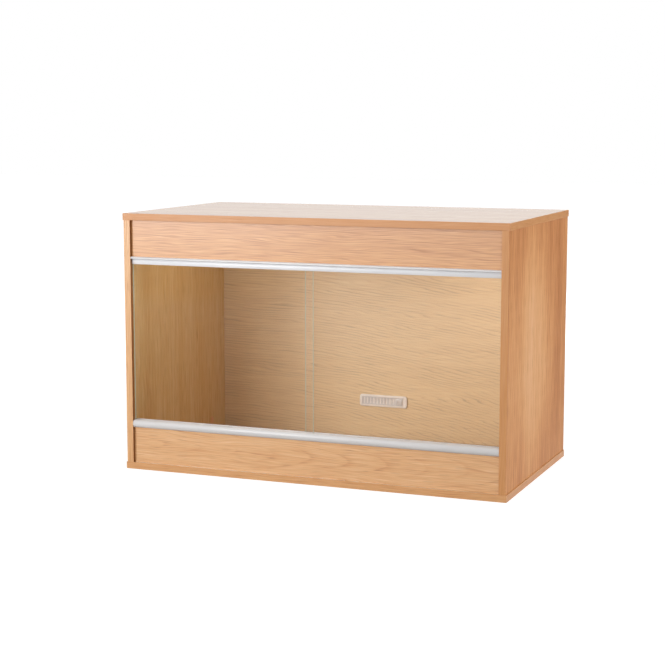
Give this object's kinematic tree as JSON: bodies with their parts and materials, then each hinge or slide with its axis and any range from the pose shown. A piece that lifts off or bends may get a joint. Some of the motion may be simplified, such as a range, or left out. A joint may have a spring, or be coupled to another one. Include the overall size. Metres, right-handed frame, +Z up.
{
  "type": "terrarium cabinet",
  "caption": "Front-opening wooden terrarium cabinet: an oak-faced box with a deep top fascia, sliding glass doors in plastic runners, and shuttered vents in the back.",
  "frame": {"origin": "middle of the footprint, on the underside of the base panel", "axes": "+X along the width, to the viewer's right seen from the front; +Y towards the back panel, so the doors face -Y; +Z up"},
  "size_m": [0.862, 0.48, 0.56],
  "materials": {
    "oak_board": "light oak melamine facing, satin",
    "oak_edging": "oak edging strip, satin",
    "runner_plastic": "pale grey extruded PVC, semi-gloss",
    "door_glass": "clear 4 mm float glass with ground edges",
    "vent_plastic": "moulded off-white plastic, fine texture",
    "cam_zinc": "die-cast zinc alloy, dull",
    "bolt_steel": "zinc-plated steel",
    "dowel_beech": "plain fluted beech"
  },
  "bodies": {
    "cabinet": {"top_panel": "oak_board", "base_panel": "oak_board", "left_side_panel": "oak_board", "right_side_panel": "oak_board", "upper_fascia": "oak_board", "lower_fascia": "oak_board", "back_panel": "oak_board", "top_front_edging": "oak_edging", "top_left_edging": "oak_edging", "top_right_edging": "oak_edging", "base_front_edging": "oak_edging", "base_left_edging": "oak_edging", "base_right_edging": "oak_edging", "left_side_edging": "oak_edging", "right_side_edging": "oak_edging", "upper_door_runner": "runner_plastic", "lower_door_runner": "runner_plastic", "lower_vent_frame": "vent_plastic", "lower_vent_rear_grille": "vent_plastic", "upper_vent_frame": "vent_plastic", "upper_vent_rear_grille": "vent_plastic", "left_top_front_cam_lock": "cam_zinc", "left_top_front_cam_bolt": "bolt_steel", "left_top_front_dowel": "dowel_beech", "left_top_rear_cam_lock": "cam_zinc", "left_top_rear_cam_bolt": "bolt_steel", "left_top_rear_dowel": "dowel_beech", "left_base_front_cam_lock": "cam_zinc", "left_base_front_cam_bolt": "bolt_steel", "left_base_front_dowel": "dowel_beech", "left_base_rear_cam_lock": "cam_zinc", "left_base_rear_cam_bolt": "bolt_steel", "left_base_rear_dowel": "dowel_beech", "right_top_front_cam_lock": "cam_zinc", "right_top_front_cam_bolt": "bolt_steel", "right_top_front_dowel": "dowel_beech", "right_top_rear_cam_lock": "cam_zinc", "right_top_rear_cam_bolt": "bolt_steel", "right_top_rear_dowel": "dowel_beech", "right_base_front_cam_lock": "cam_zinc", "right_base_front_cam_bolt": "bolt_steel", "right_base_front_dowel": "dowel_beech", "right_base_rear_cam_lock": "cam_zinc", "right_base_rear_cam_bolt": "bolt_steel", "right_base_rear_dowel": "dowel_beech", "upper_fascia_left_outer_dowel": "dowel_beech", "upper_fascia_left_inner_dowel": "dowel_beech", "upper_fascia_right_outer_dowel": "dowel_beech", "upper_fascia_right_inner_dowel": "dowel_beech", "lower_fascia_left_outer_dowel": "dowel_beech", "lower_fascia_left_inner_dowel": "dowel_beech", "lower_fascia_right_outer_dowel": "dowel_beech", "lower_fascia_right_inner_dowel": "dowel_beech"},
    "left_door": {"left_glass_door": "door_glass"},
    "right_door": {"right_glass_door": "door_glass"},
    "lower_vent_shutter": {"lower_vent_shutter": "vent_plastic"},
    "upper_vent_shutter": {"upper_vent_shutter": "vent_plastic"}
  },
  "joints": [
    {"name": "left_door_slide", "type": "slide", "parent": "cabinet", "child": "left_door", "axis": [1, 0, 0], "range_m": [0, 0.405]},
    {"name": "right_door_slide", "type": "slide", "parent": "cabinet", "child": "right_door", "axis": [1, 0, 0], "range_m": [-0.4015, 0.0035]},
    {"name": "lower_vent_shutter_slide", "type": "slide", "parent": "cabinet", "child": "lower_vent_shutter", "axis": [1, 0, 0], "range_m": [0, 0.004]},
    {"name": "upper_vent_shutter_slide", "type": "slide", "parent": "cabinet", "child": "upper_vent_shutter", "axis": [1, 0, 0], "range_m": [0, 0.004]}
  ]
}
